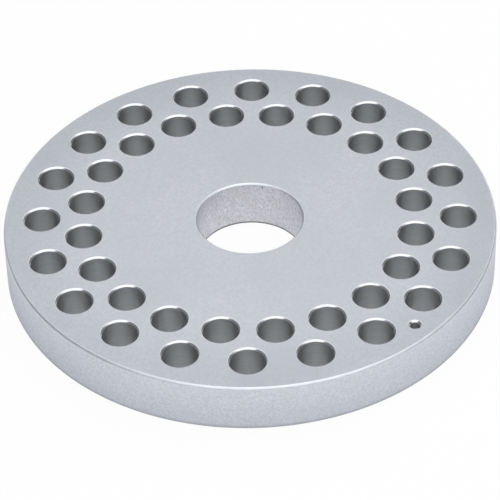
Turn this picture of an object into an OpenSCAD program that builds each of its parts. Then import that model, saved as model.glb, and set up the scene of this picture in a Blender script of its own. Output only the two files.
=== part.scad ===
// Heat block insert: a flat aluminium disc with two staggered rings of
// flat-bottomed wells for small vials, a through bore on its axis and one
// blind hole near the rim for a temperature probe.
// It is turned, drilled and countersunk from one piece. Its frame has +Z up,
// its origin at the middle of the underside and an outer well on +Y.

/* [Disc] */
// Outside diameter
disc_d = 177.8; // [150:0.1:230]
// Thickness
disc_t = 19.05; // [12:0.05:40]
// Chamfer round the top of the rim
rim_chamfer = 0.7; // [0.2:0.05:3]
// Edge break on the underside, round the rim and round the bore
foot_chamfer = 0.4; // [0.1:0.05:2]

/* [Centre bore] */
// Diameter of the through bore
bore_d = 38.1; // [12:0.1:80]
// Countersink at the top of the bore
bore_chamfer = 0.55; // [0.2:0.05:2]

/* [Wells] */
// Wells in each ring
wells_per_ring = 20; // [8:1:24]
// Diameter of a well, which takes a 12 mm vial
well_d = 12.3; // [8:0.1:15]
// Metal left under a well
well_floor = 3.05; // [1:0.05:10]
// Bevel in the corner between a well's wall and its floor
well_corner = 0.5; // [0.2:0.05:1.5]
// Countersink at the mouth of a well
well_chamfer = 0.6; // [0.2:0.05:1.5]
// From the rim in to the centres of the outer wells
outer_ring_inset = 13.7; // [10:0.1:20]
// From the outer wells' centre circle in to the inner wells' one
ring_step = 14.9; // [12:0.1:22]

/* [Probe hole] */
// Diameter of the probe hole, which takes a 1/8 inch probe
probe_d = 3.3; // [2:0.1:6]
// Metal left under the probe hole's full diameter
probe_floor = 3.3; // [2.5:0.05:11]
// Countersink at the mouth of the probe hole
probe_chamfer = 0.65; // [0.2:0.05:1]
// From the rim in to the centre of the probe hole
probe_inset = 7.5; // [5:0.1:12]
// Outer wells passed, clockwise from the one on +Y, before the probe hole
wells_before_probe = 7; // [0:1:7]

/* [Hidden] */
$fn = 96;

// Included angle of a twist drill's point
DRILL_POINT = 118;
// How far a cutter starts above the top face
RUN_IN = 1;

disc_r = disc_d / 2;
bore_r = bore_d / 2;
outer_ring_r = disc_r - outer_ring_inset;
inner_ring_r = outer_ring_r - ring_step;
probe_ring_r = disc_r - probe_inset;
pitch = 360 / wells_per_ring;

// Angle of a place on a ring, counted clockwise in pitches from +Y
function ring_angle(pitches) = 90 - pitches * pitch;

// Height of the cone that a drill leaves under its full diameter
function point_height(d) = d / 2 / tan(DRILL_POINT / 2);

// The turned blank: one section of rim, faces and bore, spun round the axis
module turned_blank() {
    rotate_extrude()
        polygon([
            [bore_r + foot_chamfer, 0],
            [disc_r - foot_chamfer, 0],
            [disc_r, foot_chamfer],
            [disc_r, disc_t - rim_chamfer],
            [disc_r - rim_chamfer, disc_t],
            [bore_r + bore_chamfer, disc_t],
            [bore_r, disc_t - bore_chamfer],
            [bore_r, foot_chamfer]
        ]);
}

// What one cutter removes: its tip, given as points from the axis outwards, a
// straight wall from wall_z up and a 45 degree countersink that carries on
// above the top face
module cutter(d, tip, wall_z, chamfer) {
    rotate_extrude()
        polygon(concat(tip, [
            [d / 2, wall_z],
            [d / 2, disc_t - chamfer],
            [d / 2 + chamfer + RUN_IN, disc_t + RUN_IN],
            [0, disc_t + RUN_IN]
        ]));
}

// One flat-bottomed well
module well() {
    floor_r = well_d / 2 - well_corner;
    cutter(well_d, [[0, well_floor], [floor_r, well_floor]], well_floor + well_corner, well_chamfer);
}

// A ring of wells, turned by a share of one pitch
module well_ring(ring_r, offset_pitches) {
    for (k = [0 : wells_per_ring - 1])
        rotate(ring_angle(k + offset_pitches))
            translate([ring_r, 0, 0])
                well();
}

// The drilled hole, midway between two of the outer wells
module probe_hole() {
    rotate(ring_angle(wells_before_probe + 0.5))
        translate([probe_ring_r, 0, 0])
            cutter(probe_d, [[0, probe_floor - point_height(probe_d)]], probe_floor, probe_chamfer);
}

// The whole insert: bead-blasted natural aluminium
module heat_block() {
    color([0.77, 0.785, 0.82])
        difference() {
            turned_blank();
            well_ring(outer_ring_r, 0);
            well_ring(inner_ring_r, 0.5);
            probe_hole();
        }
}

heat_block();
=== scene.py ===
import math

import bmesh
import bpy
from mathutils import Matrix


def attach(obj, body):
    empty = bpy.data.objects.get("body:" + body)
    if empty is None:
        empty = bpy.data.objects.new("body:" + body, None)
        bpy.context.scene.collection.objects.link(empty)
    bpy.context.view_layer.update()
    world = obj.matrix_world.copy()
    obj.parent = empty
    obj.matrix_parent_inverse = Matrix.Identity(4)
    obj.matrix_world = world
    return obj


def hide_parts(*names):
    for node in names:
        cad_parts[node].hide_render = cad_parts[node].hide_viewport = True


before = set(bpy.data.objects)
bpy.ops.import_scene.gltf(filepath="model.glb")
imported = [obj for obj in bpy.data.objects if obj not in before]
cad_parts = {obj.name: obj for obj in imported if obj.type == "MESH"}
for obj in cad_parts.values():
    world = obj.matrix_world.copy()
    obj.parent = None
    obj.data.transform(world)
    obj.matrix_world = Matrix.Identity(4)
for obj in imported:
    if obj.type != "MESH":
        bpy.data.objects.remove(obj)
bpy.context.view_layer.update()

# ---------------------------------------------------------------------------
# Turned blank. A disc cut from aluminium bar, then faced, turned and bored in
# a lathe. Each edge that the lathe leaves is broken with a small chamfer, and
# its outside is bead-blasted to an even pale grey.
# ---------------------------------------------------------------------------
MM = 0.001  # lengths are in metres
DISC_R = 88.9 * MM
DISC_T = 19.05 * MM
RIM_CHAMFER = 0.7 * MM
FOOT_CHAMFER = 0.4 * MM
BORE_R = 19.05 * MM
BORE_CHAMFER = 0.55 * MM
DEBURRED_ROUND = 0.09 * MM  # rounding that deburring leaves on an edge
HANDLED_ROUND = 0.3 * MM  # rounding that handling leaves on the rim's outer edge
BACKING = 0.4 * MM  # width of the strip beside an edge, which keeps its shading tight

mesh = bpy.data.meshes.new("heat block")
block = bmesh.new()
from_axis = block.verts.layers.float.new("from_axis")


def turn(outline, rounded, steps, centre=(0, 0)):
    """Spins an outline of (radius, height) points round an upright axis.

    Rounded maps groups of point numbers to the rounding at those points.
    Returns the faces, and each vertex keeps its distance from the axis.
    """
    x, y = centre
    points = [block.verts.new((x + r, y, z)) for r, z in outline]
    for pair in zip(points, points[1:]):
        block.edges.new(pair)
    for numbers, rounding in rounded.items():
        bmesh.ops.bevel(
            block,
            geom=[points[i] for i in numbers],
            offset=rounding,
            offset_type="OFFSET",
            segments=4,
            profile=0.5,
            affect="VERTICES",
            material=-1,
        )
    wire = [edge for edge in block.edges if edge.is_wire]
    ends = list(dict.fromkeys(vert for edge in wire for vert in edge.verts))
    made = len(block.faces)
    bmesh.ops.spin(
        block,
        geom=ends + wire,
        cent=(x, y, 0),
        axis=(0, 0, 1),
        angle=math.tau,
        steps=steps,
        use_merge=True,
    )
    block.faces.ensure_lookup_table()
    turned = block.faces[made:]
    for vert in dict.fromkeys(vert for face in turned for vert in face.verts):
        vert[from_axis] = math.hypot(vert.co.x - x, vert.co.y - y)
    return turned


# From the top face out over the rim, under the disc and up the bore
blank = turn(
    [
        (DISC_R - RIM_CHAMFER - BACKING, DISC_T),
        (DISC_R - RIM_CHAMFER, DISC_T),
        (DISC_R, DISC_T - RIM_CHAMFER),
        (DISC_R, DISC_T - RIM_CHAMFER - BACKING),
        (DISC_R, FOOT_CHAMFER + BACKING),
        (DISC_R, FOOT_CHAMFER),
        (DISC_R - FOOT_CHAMFER, 0),
        (DISC_R - FOOT_CHAMFER - BACKING, 0),
        (BORE_R + FOOT_CHAMFER + BACKING, 0),
        (BORE_R + FOOT_CHAMFER, 0),
        (BORE_R, FOOT_CHAMFER),
        (BORE_R, FOOT_CHAMFER + BACKING),
        (BORE_R, DISC_T - BORE_CHAMFER - BACKING),
        (BORE_R, DISC_T - BORE_CHAMFER),
        (BORE_R + BORE_CHAMFER, DISC_T),
        (BORE_R + BORE_CHAMFER + BACKING, DISC_T),
    ],
    rounded={(2,): HANDLED_ROUND, (1, 5, 6, 9, 10, 13, 14): DEBURRED_ROUND},
    steps=360,
)

# The block's finishes, in the order of its material slots. A new face is blasted.
BLASTED, PEENED, RUBBED, CUT, BORED, REAMED, MILLED = range(7)

UPRIGHT = 0.02  # a wall's normal rises less than this
LEVEL = 0.999  # a flat face's normal rises more than this
for face in blank:
    rise = abs(face.normal.z)
    in_bore = face.calc_center_median().xy.length < BORE_R + BORE_CHAMFER
    if rise < UPRIGHT:
        face.material_index = BORED if in_bore else PEENED
    elif rise < LEVEL:
        face.material_index = RUBBED


def linear(hex_colour):
    """An sRGB hex colour as the linear RGBA that a shader takes."""
    parts = [int(hex_colour[i : i + 2], 16) / 255 for i in (1, 3, 5)]
    return [c / 12.92 if c < 0.04045 else ((c + 0.055) / 1.055) ** 2.4 for c in parts] + [1]


def add_node(owner, kind, inputs=(), **settings):
    """Adds a node to a material or world and fills or links its sockets."""
    tree = owner.node_tree
    node = tree.nodes.new(kind)
    for name, value in settings.items():
        setattr(node, name, value)
    for socket, value in dict(inputs).items():
        if isinstance(value, bpy.types.NodeSocket):
            tree.links.new(value, node.inputs[socket])
        else:
            node.inputs[socket].default_value = value
    return node


def new_finish(name):
    """Gives the block one more material slot, with an empty node tree."""
    material = bpy.data.materials.new(name)
    material.use_nodes = True
    material.node_tree.nodes.clear()
    mesh.materials.append(material)
    return material


# Bead-blasted aluminium: glass beads leave the flat faces an even, slightly
# blue grey with no gloss, faintly clouded, with a painted shade that darkens them towards the
# rim.
# The dimples are 0.1 mm across, too fine to show, so they are drawn 1.1 mm across.
# Painted shade: between these distances from the axis the flat faces turn a shade darker
PAINTED_SHADE_FROM, PAINTED_SHADE_TO = 64 * MM, 84 * MM  # distances from the block's axis
HORIZONTAL = (1, 1, 0)

blasted = new_finish("bead-blasted aluminium")
place = add_node(blasted, "ShaderNodeTexCoord").outputs["Object"]
noise = add_node(
    blasted,
    "ShaderNodeTexNoise",
    {"Vector": place, "Scale": 1 / (1.1 * MM), "Detail": 2, "Roughness": 0.6},
)
dimples = add_node(
    blasted, "ShaderNodeMapRange", {"Value": noise.outputs[0], "From Min": 0.3, "From Max": 0.7}
)
# A Mix node's sockets go by number, as several share a name: 0 is the factor, 6 and 7
# are the two colours, and the mixed colour is output 2.
grain = add_node(
    blasted,
    "ShaderNodeMix",
    {0: dimples.outputs[0], 6: linear("#BABCC1"), 7: linear("#CCCED3")},
    data_type="RGBA",
)
clouds = add_node(
    blasted,
    "ShaderNodeTexNoise",
    {"Vector": place, "Scale": 1 / (26 * MM), "Detail": 3, "Roughness": 0.5},
)
clouded = add_node(
    blasted,
    "ShaderNodeMix",
    {0: clouds.outputs[0], 6: grain.outputs[2], 7: linear("#BFC2C8")},
    data_type="RGBA",
)
outward = add_node(
    blasted, "ShaderNodeVectorMath", {0: place, 1: HORIZONTAL}, operation="MULTIPLY"
)
radius = add_node(blasted, "ShaderNodeVectorMath", {0: outward.outputs[0]}, operation="LENGTH")
rim_shade_mask = add_node(
    blasted,
    "ShaderNodeMapRange",
    {"Value": radius.outputs["Value"], "From Min": PAINTED_SHADE_FROM, "From Max": PAINTED_SHADE_TO},
)
# Painted shade: the flat faces are multiplied a shade darker towards the rim
rim_shaded = add_node(
    blasted,
    "ShaderNodeMix",
    {0: rim_shade_mask.outputs[0], 6: clouded.outputs[2], 7: linear("#F3F4F5")},
    data_type="RGBA",
    blend_type="MULTIPLY",
)
dull = add_node(
    blasted, "ShaderNodeMapRange", {"Value": clouds.outputs[0], "To Min": 0.44, "To Max": 0.58}
)
pitted = add_node(
    blasted,
    "ShaderNodeBump",
    {"Strength": 1.0, "Distance": 0.012 * MM, "Height": dimples.outputs[0]},
)
skin = add_node(
    blasted,
    "ShaderNodeBsdfPrincipled",
    {
        "Base Color": rim_shaded.outputs[2],
        "Metallic": 1.0,
        "Roughness": dull.outputs[0],
        "Normal": pitted.outputs[0],
    },
)
add_node(blasted, "ShaderNodeOutputMaterial", {"Surface": skin.outputs[0]})

# Coarsely blasted aluminium: the rim was turned before it was blasted, so it
# is paler than the flat faces and more mottled, in spots about 1 mm across.
# It has a painted shade that darkens it towards the bottom, and a darker painted shade along its
# foot.
# Its pits shade one another at a grazing view, so its edge tint is below white.
peened = new_finish("coarsely blasted aluminium")
place = add_node(peened, "ShaderNodeTexCoord").outputs["Object"]
noise = add_node(
    peened,
    "ShaderNodeTexNoise",
    {"Vector": place, "Scale": 1 / (0.9 * MM), "Detail": 3, "Roughness": 0.7},
)
spots = add_node(
    peened, "ShaderNodeMapRange", {"Value": noise.outputs[0], "From Min": 0.3, "From Max": 0.7}
)
mottled = add_node(
    peened,
    "ShaderNodeMix",
    {0: spots.outputs[0], 6: linear("#D3D6DC"), 7: linear("#EBEEF4")},
    data_type="RGBA",
)
height = add_node(peened, "ShaderNodeSeparateXYZ", {0: place})
# Painted shade: the rim is multiplied a shade darker towards its bottom, nearer the floor
low_shade_mask = add_node(
    peened,
    "ShaderNodeMapRange",
    {"Value": height.outputs["Z"], "From Min": 18 * MM, "From Max": 2 * MM},
)
low_shaded = add_node(
    peened,
    "ShaderNodeMix",
    {0: low_shade_mask.outputs[0], 6: mottled.outputs[2], 7: linear("#F6F6F7")},
    data_type="RGBA",
    blend_type="MULTIPLY",
)
# Painted shade: a grey band along the rim's foot, where it meets the floor
foot_shade_mask = add_node(
    peened,
    "ShaderNodeMapRange",
    {"Value": height.outputs["Z"], "From Min": 0.4 * MM, "From Max": 1.8 * MM},
)
foot_shaded = add_node(
    peened,
    "ShaderNodeMix",
    {0: foot_shade_mask.outputs[0], 6: linear("#B9BAC0"), 7: low_shaded.outputs[2]},
    data_type="RGBA",
)
pitted = add_node(
    peened,
    "ShaderNodeBump",
    {"Strength": 1.0, "Distance": 0.03 * MM, "Height": spots.outputs[0]},
)
skin = add_node(
    peened,
    "ShaderNodeBsdfPrincipled",
    {
        "Base Color": foot_shaded.outputs[2],
        "Metallic": 1.0,
        "Specular Tint": linear("#DEDFE2"),
        "Roughness": 0.55,
        "Normal": pitted.outputs[0],
    },
)
add_node(peened, "ShaderNodeOutputMaterial", {"Surface": skin.outputs[0]})

# Rubbed aluminium: the chamfers round the rim, the bore and the foot were
# blasted too, and handling has rubbed them brighter and a little wavy, in waves
# 3.5 mm long.
rubbed = new_finish("rubbed aluminium edge")
place = add_node(rubbed, "ShaderNodeTexCoord").outputs["Object"]
handling = add_node(
    rubbed,
    "ShaderNodeTexNoise",
    {"Vector": place, "Scale": 1 / (3.5 * MM), "Detail": 3, "Roughness": 0.6},
)
worn = add_node(
    rubbed,
    "ShaderNodeMix",
    {0: handling.outputs[0], 6: linear("#D5D9E1"), 7: linear("#F1F3F8")},
    data_type="RGBA",
)
wavy = add_node(
    rubbed,
    "ShaderNodeBump",
    {"Strength": 1.0, "Distance": 0.06 * MM, "Height": handling.outputs[0]},
)
skin = add_node(
    rubbed,
    "ShaderNodeBsdfPrincipled",
    {
        "Base Color": worn.outputs[2],
        "Metallic": 1.0,
        "Roughness": 0.46,
        "Normal": wavy.outputs[0],
    },
)
add_node(rubbed, "ShaderNodeOutputMaterial", {"Surface": skin.outputs[0]})

# Cut aluminium: a countersink tool cut the mouths of the wells and the probe
# hole after the blasting, so they are bright, nearly a mirror, with the tool's
# chatter in waves 2.2 mm long and a few small nicks.
cut = new_finish("cut aluminium countersink")
place = add_node(cut, "ShaderNodeTexCoord").outputs["Object"]
chatter = add_node(
    cut,
    "ShaderNodeTexNoise",
    {"Vector": place, "Scale": 1 / (2.2 * MM), "Detail": 3, "Roughness": 0.6},
)
nicks = add_node(
    cut,
    "ShaderNodeMapRange",
    {"Value": chatter.outputs[0], "From Min": 0.66, "From Max": 0.74},
)
bright = add_node(
    cut,
    "ShaderNodeMix",
    {0: nicks.outputs[0], 6: linear("#DADCDF"), 7: linear("#C2C5CA")},
    data_type="RGBA",
)
smooth = add_node(
    cut, "ShaderNodeMapRange", {"Value": chatter.outputs[0], "To Min": 0.10, "To Max": 0.26}
)
waves = add_node(
    cut,
    "ShaderNodeBump",
    {"Strength": 1.0, "Distance": 0.01 * MM, "Height": chatter.outputs[0]},
)
skin = add_node(
    cut,
    "ShaderNodeBsdfPrincipled",
    {
        "Base Color": bright.outputs[2],
        "Metallic": 1.0,
        "Roughness": smooth.outputs[0],
        "Normal": waves.outputs[0],
    },
)
add_node(cut, "ShaderNodeOutputMaterial", {"Surface": skin.outputs[0]})

# Bored aluminium: the wide bore was turned and lightly blasted, which leaves a
# lilac grey with faint upright smears. A dark painted shade runs along its foot, where
# it meets the floor, and a tool has left one dark nick, 0.4 mm wide, under its mouth.
DRAWN_UPRIGHT = (1, 1, 0.6)  # less height in the coordinates draws a pattern out upwards
NICK_MIDDLE = (4.4 * MM, 18.5 * MM, 17.9 * MM)
NICK_REACH = (0.2 * MM, 0.3 * MM, 0.6 * MM)  # half its width, depth and height

bored = new_finish("bored aluminium")
place = add_node(bored, "ShaderNodeTexCoord").outputs["Object"]
upright = add_node(bored, "ShaderNodeMapping", {"Vector": place, "Scale": DRAWN_UPRIGHT})
noise = add_node(
    bored,
    "ShaderNodeTexNoise",
    {"Vector": upright.outputs[0], "Scale": 1 / (0.7 * MM), "Detail": 3, "Roughness": 0.7},
)
smears = add_node(
    bored, "ShaderNodeMapRange", {"Value": noise.outputs[0], "From Min": 0.3, "From Max": 0.7}
)
streaked = add_node(
    bored,
    "ShaderNodeMix",
    {0: smears.outputs[0], 6: linear("#C4C3CB"), 7: linear("#FAFAFF")},
    data_type="RGBA",
)
patches = add_node(
    bored,
    "ShaderNodeTexNoise",
    {"Vector": place, "Scale": 1 / (6 * MM), "Detail": 2, "Roughness": 0.5},
)
stained = add_node(
    bored,
    "ShaderNodeMapRange",
    {"Value": patches.outputs[0], "From Min": 0.35, "From Max": 0.7, "To Max": 0.4},
)
patchy = add_node(
    bored,
    "ShaderNodeMix",
    {0: stained.outputs[0], 6: streaked.outputs[2], 7: linear("#D2D2D2")},
    data_type="RGBA",
)
height = add_node(bored, "ShaderNodeSeparateXYZ", {0: place})
# Painted shade: a dark band along the bore's foot, where it meets the floor
foot_shade_mask = add_node(
    bored,
    "ShaderNodeMapRange",
    {"Value": height.outputs["Z"], "From Min": 0.7 * MM, "From Max": 1.2 * MM},
)
foot_shaded = add_node(
    bored,
    "ShaderNodeMix",
    {0: foot_shade_mask.outputs[0], 6: linear("#5C5C62"), 7: patchy.outputs[2]},
    data_type="RGBA",
)
from_nick = add_node(
    bored, "ShaderNodeVectorMath", {0: place, 1: NICK_MIDDLE}, operation="SUBTRACT"
)
in_reaches = add_node(
    bored, "ShaderNodeVectorMath", {0: from_nick.outputs[0], 1: NICK_REACH}, operation="DIVIDE"
)
distance = add_node(bored, "ShaderNodeVectorMath", {0: in_reaches.outputs[0]}, operation="LENGTH")
# The nick is darkest out to 0.6 of its reach and has faded away at 1.2 of it
whole = add_node(
    bored,
    "ShaderNodeMapRange",
    {"Value": distance.outputs["Value"], "From Min": 0.6, "From Max": 1.2},
)
nicked = add_node(
    bored,
    "ShaderNodeMix",
    {0: whole.outputs[0], 6: linear("#5C5C62"), 7: foot_shaded.outputs[2]},
    data_type="RGBA",
)
uneven = add_node(
    bored,
    "ShaderNodeBump",
    {"Strength": 1.0, "Distance": 0.03 * MM, "Height": smears.outputs[0]},
)
skin = add_node(
    bored,
    "ShaderNodeBsdfPrincipled",
    {
        "Base Color": nicked.outputs[2],
        "Metallic": 1.0,
        "Roughness": 0.45,
        "Normal": uneven.outputs[0],
    },
)
add_node(bored, "ShaderNodeOutputMaterial", {"Surface": skin.outputs[0]})

# ---------------------------------------------------------------------------
# Wells. Forty holes for 12 mm vials in the aluminium, in two rings of twenty that
# are half a pitch apart. Each is drilled, reamed to size, milled flat at its
# bottom and countersunk at its mouth.
# ---------------------------------------------------------------------------
WELL_R = 6.15 * MM
WELL_FLOOR = 3.05 * MM
WELL_CORNER = 0.5 * MM
WELL_CHAMFER = 0.6 * MM
WELLS_PER_RING = 20
OUTER_RING_INSET = 13.7 * MM  # from the rim in to the outer wells' centres
RING_STEP = 14.9 * MM  # from there in to the inner wells' centres
OUTER_RING_R = DISC_R - OUTER_RING_INSET
INNER_RING_R = OUTER_RING_R - RING_STEP


def place_on_ring(ring_r, pitches):
    """Middle of a place on a ring, counted clockwise in pitches from +Y."""
    angle = math.radians(90 - pitches * 360 / WELLS_PER_RING)
    return ring_r * math.cos(angle), ring_r * math.sin(angle)


well_places = [place_on_ring(OUTER_RING_R, k) for k in range(WELLS_PER_RING)]
well_places += [place_on_ring(INNER_RING_R, k + 0.5) for k in range(WELLS_PER_RING)]
well = turn(
    [
        (WELL_R + WELL_CHAMFER + BACKING, DISC_T),
        (WELL_R + WELL_CHAMFER, DISC_T),
        (WELL_R, DISC_T - WELL_CHAMFER),
        (WELL_R, DISC_T - WELL_CHAMFER - BACKING),
        (WELL_R, WELL_FLOOR + WELL_CORNER + BACKING),
        (WELL_R, WELL_FLOOR + WELL_CORNER),
        (WELL_R - WELL_CORNER, WELL_FLOOR),
        (WELL_R - WELL_CORNER - BACKING, WELL_FLOOR),
        (0, WELL_FLOOR),
    ],
    rounded={(1, 2, 5, 6): DEBURRED_ROUND},
    steps=72,
)
for face in well:
    height = face.calc_center_median().z
    if height < WELL_FLOOR + WELL_CORNER:
        face.material_index = MILLED
    elif height < DISC_T - WELL_CHAMFER:
        face.material_index = REAMED
    elif abs(face.normal.z) < LEVEL:
        face.material_index = CUT
first = list(well) + list(dict.fromkeys(vert for face in well for vert in face.verts))
copies = [bmesh.ops.duplicate(block, geom=first)["geom"] for _ in well_places[1:]]
for parts, (x, y) in zip([first] + copies, well_places):
    verts = [part for part in parts if isinstance(part, bmesh.types.BMVert)]
    bmesh.ops.translate(block, verts=verts, vec=(x, y, 0))

# Reamed aluminium: the reamer's rings run round each well, so light is drawn
# out upwards along the wall. The rings are 0.1 mm apart, too fine to show, so
# they are drawn 0.9 mm apart.
DRAWN_ROUND = (0.12, 0.12, 1)  # less width in the coordinates draws a pattern out sideways

reamed = new_finish("reamed aluminium")
place = add_node(reamed, "ShaderNodeTexCoord").outputs["Object"]
ringed = add_node(reamed, "ShaderNodeMapping", {"Vector": place, "Scale": DRAWN_ROUND})
rings = add_node(
    reamed,
    "ShaderNodeTexNoise",
    {"Vector": ringed.outputs[0], "Scale": 1 / (0.9 * MM), "Detail": 2, "Roughness": 0.6},
)
tone = add_node(
    reamed,
    "ShaderNodeMix",
    {0: rings.outputs[0], 6: linear("#D4D5D6"), 7: linear("#EEEFEF")},
    data_type="RGBA",
)
upwards = add_node(reamed, "ShaderNodeCombineXYZ", {"Z": 1.0})
grooves = add_node(
    reamed,
    "ShaderNodeBump",
    {"Strength": 1.0, "Distance": 0.006 * MM, "Height": rings.outputs[0]},
)
skin = add_node(
    reamed,
    "ShaderNodeBsdfPrincipled",
    {
        "Base Color": tone.outputs[2],
        "Metallic": 1.0,
        "Roughness": 0.32,
        "Anisotropic": 0.75,
        "Tangent": upwards.outputs[0],
        "Normal": grooves.outputs[0],
    },
)
add_node(reamed, "ShaderNodeOutputMaterial", {"Surface": skin.outputs[0]})

# Milled and drilled aluminium: an end mill or a drill leaves a duller, greyer
# surface than a reamer does. Its rings are 0.15 mm apart, too fine to show, so
# they are drawn 0.8 mm apart.
milled = new_finish("milled and drilled aluminium")
radius = add_node(milled, "ShaderNodeAttribute", attribute_name="from_axis")
circles = add_node(
    milled,
    "ShaderNodeTexNoise",
    {"W": radius.outputs["Fac"], "Scale": 1 / (0.8 * MM), "Detail": 3, "Roughness": 0.6},
    noise_dimensions="1D",
)
tone = add_node(
    milled,
    "ShaderNodeMix",
    {0: circles.outputs[0], 6: linear("#A9ABAE"), 7: linear("#CBCDCF")},
    data_type="RGBA",
)
skin = add_node(
    milled,
    "ShaderNodeBsdfPrincipled",
    {"Base Color": tone.outputs[2], "Metallic": 1.0, "Roughness": 0.36},
)
add_node(milled, "ShaderNodeOutputMaterial", {"Surface": skin.outputs[0]})

# ---------------------------------------------------------------------------
# Probe hole. One small blind hole for a temperature probe, drilled near the rim
# and midway between two outer wells. The drill's point leaves a cone under it,
# and its mouth is countersunk as the wells' are.
# ---------------------------------------------------------------------------
PROBE_R = 1.65 * MM
PROBE_FLOOR = 3.3 * MM
PROBE_CHAMFER = 0.65 * MM
PROBE_INSET = 7.5 * MM  # from the rim in to its centre
PROBE_PITCHES = 7.5  # clockwise from the outer well on +Y
DRILL_POINT = 118  # included angle in degrees
POINT_HEIGHT = PROBE_R / math.tan(math.radians(DRILL_POINT / 2))

probe = turn(
    [
        (PROBE_R + PROBE_CHAMFER + BACKING, DISC_T),
        (PROBE_R + PROBE_CHAMFER, DISC_T),
        (PROBE_R, DISC_T - PROBE_CHAMFER),
        (PROBE_R, DISC_T - PROBE_CHAMFER - BACKING),
        (PROBE_R, PROBE_FLOOR),
        (0, PROBE_FLOOR - POINT_HEIGHT),
    ],
    rounded={(1, 2): DEBURRED_ROUND},
    steps=48,
    centre=place_on_ring(DISC_R - PROBE_INSET, PROBE_PITCHES),
)
for face in probe:
    height = face.calc_center_median().z
    if height < PROBE_FLOOR:
        face.material_index = MILLED
    elif height < DISC_T - PROBE_CHAMFER:
        face.material_index = REAMED
    elif abs(face.normal.z) < LEVEL:
        face.material_index = CUT

# ---------------------------------------------------------------------------
# Top face. The flat between the rim, the bore and the mouths of all the holes,
# faced in the lathe and blasted before the countersinks were cut.
# ---------------------------------------------------------------------------
WELD = 0.001 * MM

bmesh.ops.remove_doubles(block, verts=block.verts, dist=WELD)
mouths = [edge for edge in block.edges if edge.is_boundary]
bmesh.ops.triangle_fill(
    block, use_beauty=True, use_dissolve=False, edges=mouths, normal=(0, 0, 1)
)
bmesh.ops.recalc_face_normals(block, faces=block.faces)
for face in block.faces:
    face.smooth = abs(face.normal.z) < LEVEL
block.to_mesh(mesh)
block.free()
heat_block = bpy.data.objects.new("heat_block_insert", mesh)
bpy.context.collection.objects.link(heat_block)
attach(heat_block, "root")
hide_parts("heat_block")

# ---------------------------------------------------------------------------
# Floor. A sheet of matt white paper under the block. The camera sees it nearly
# white and the metal sees some of that white, and it keeps the block's shadow.
# ---------------------------------------------------------------------------
FLOOR_REACH = 3  # metres from the block to each edge
FLOOR_DROP = 0.05 * MM  # keeps the sheet just clear of the block's underside
WHITE_TO_CAMERA = 0.94  # share of plain white that the camera sees in the floor
WHITE_TO_METAL = 0.28  # and that the metal sees in it

floor_mesh = bpy.data.meshes.new("floor")
sheet = bmesh.new()
bmesh.ops.create_grid(sheet, x_segments=1, y_segments=1, size=FLOOR_REACH)
bmesh.ops.translate(sheet, verts=sheet.verts, vec=(0, 0, -FLOOR_DROP))
sheet.to_mesh(floor_mesh)
sheet.free()
floor = bpy.data.objects.new("floor", floor_mesh)
bpy.context.collection.objects.link(floor)

paper = bpy.data.materials.new("white paper")
paper.use_nodes = True
paper.node_tree.nodes.clear()
rays = add_node(paper, "ShaderNodeLightPath")
from_metal = add_node(
    paper,
    "ShaderNodeMath",
    {0: rays.outputs["Is Glossy Ray"], 1: rays.outputs["Is Transmission Ray"]},
    operation="MAXIMUM",
)
metal_share = add_node(
    paper, "ShaderNodeMath", {0: from_metal.outputs[0], 1: WHITE_TO_METAL}, operation="MULTIPLY"
)
share = add_node(
    paper,
    "ShaderNodeMath",
    {0: rays.outputs["Is Camera Ray"], 1: WHITE_TO_CAMERA, 2: metal_share.outputs[0]},
    operation="MULTIPLY_ADD",
)
matt = add_node(paper, "ShaderNodeBsdfDiffuse", {"Color": linear("#F4F4F4")})
glow = add_node(paper, "ShaderNodeEmission", {"Color": linear("#FFFFFF"), "Strength": 1.0})
mix = add_node(
    paper, "ShaderNodeMixShader", {0: share.outputs[0], 1: matt.outputs[0], 2: glow.outputs[0]}
)
add_node(paper, "ShaderNodeOutputMaterial", {"Surface": mix.outputs[0]})
floor_mesh.materials.append(paper)

# ---------------------------------------------------------------------------
# Light. Two softboxes side by side overhead, a large one and a narrower, dimmer
# one to its right, in a dim room with a slightly cool cast. The camera sees the
# room white, and the metal sees a little of that white.
# ---------------------------------------------------------------------------
ROOM_WHITE_TO_METAL = 0.1  # share of plain white that the metal sees in the room
LAMP_HEIGHT = 1.5  # metres above the floor
LAMP_DEPTH = 3.6 * LAMP_HEIGHT  # from its front edge to its back edge
LAMP_FORWARD = 0.2 * LAMP_HEIGHT  # how far its middle is in front of the block's

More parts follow.
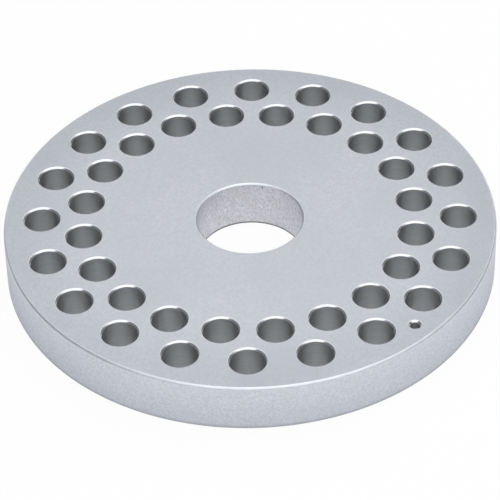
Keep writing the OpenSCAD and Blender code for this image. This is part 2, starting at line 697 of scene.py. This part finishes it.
world = bpy.data.worlds.new("studio")
bpy.context.scene.world = world
world.use_nodes = True
world.node_tree.nodes.clear()
rays = add_node(world, "ShaderNodeLightPath")
from_metal = add_node(
    world,
    "ShaderNodeMath",
    {0: rays.outputs["Is Glossy Ray"], 1: rays.outputs["Is Transmission Ray"]},
    operation="MAXIMUM",
)
share = add_node(
    world,
    "ShaderNodeMath",
    {0: from_metal.outputs[0], 1: ROOM_WHITE_TO_METAL, 2: rays.outputs["Is Camera Ray"]},
    operation="MULTIPLY_ADD",
)
room = add_node(
    world, "ShaderNodeBackground", {"Color": linear("#EEF3FF"), "Strength": 0.17}
)
white = add_node(world, "ShaderNodeBackground", {"Color": linear("#FFFFFF"), "Strength": 1.0})
mix = add_node(
    world,
    "ShaderNodeMixShader",
    {0: share.outputs[0], 1: room.outputs[0], 2: white.outputs[0]},
)
add_node(world, "ShaderNodeOutputWorld", {"Surface": mix.outputs[0]})

# Each lamp's left and right ends, in lamp heights from the middle, and its radiance.
# Its power is pi times that radiance times its area.
LAMPS = {"main softbox": (-0.87, 1.3, 1.22), "side softbox": (1.3, 1.75, 0.45)}
for name, (left, right, radiance) in LAMPS.items():
    lamp = bpy.data.lights.new(name, "AREA")
    lamp.shape = "RECTANGLE"
    lamp.size, lamp.size_y = (right - left) * LAMP_HEIGHT, LAMP_DEPTH
    lamp.energy = radiance * math.pi * lamp.size * lamp.size_y
    softbox = bpy.data.objects.new(name, lamp)
    middle = (left + right) / 2
    softbox.location = (middle * LAMP_HEIGHT, -LAMP_FORWARD, LAMP_HEIGHT)
    bpy.context.collection.objects.link(softbox)

# ---------------------------------------------------------------------------
# Camera. A metre away, straight in front of the block, looking down on it from
# 41 degrees through a long lens.
# ---------------------------------------------------------------------------
CAMERA_TURN = (48.93452, 1.11639, 0.55512)  # degrees about X, Y and Z

camera = bpy.data.objects.new("camera", bpy.data.cameras.new("camera"))
camera.location = (19.596 * MM, -743.889 * MM, 651.654 * MM)
camera.rotation_euler = [math.radians(angle) for angle in CAMERA_TURN]
camera.data.sensor_width = 36
camera.data.lens = 194.719
bpy.context.collection.objects.link(camera)
bpy.context.scene.camera = camera
bpy.context.scene.view_settings.view_transform = "Standard"
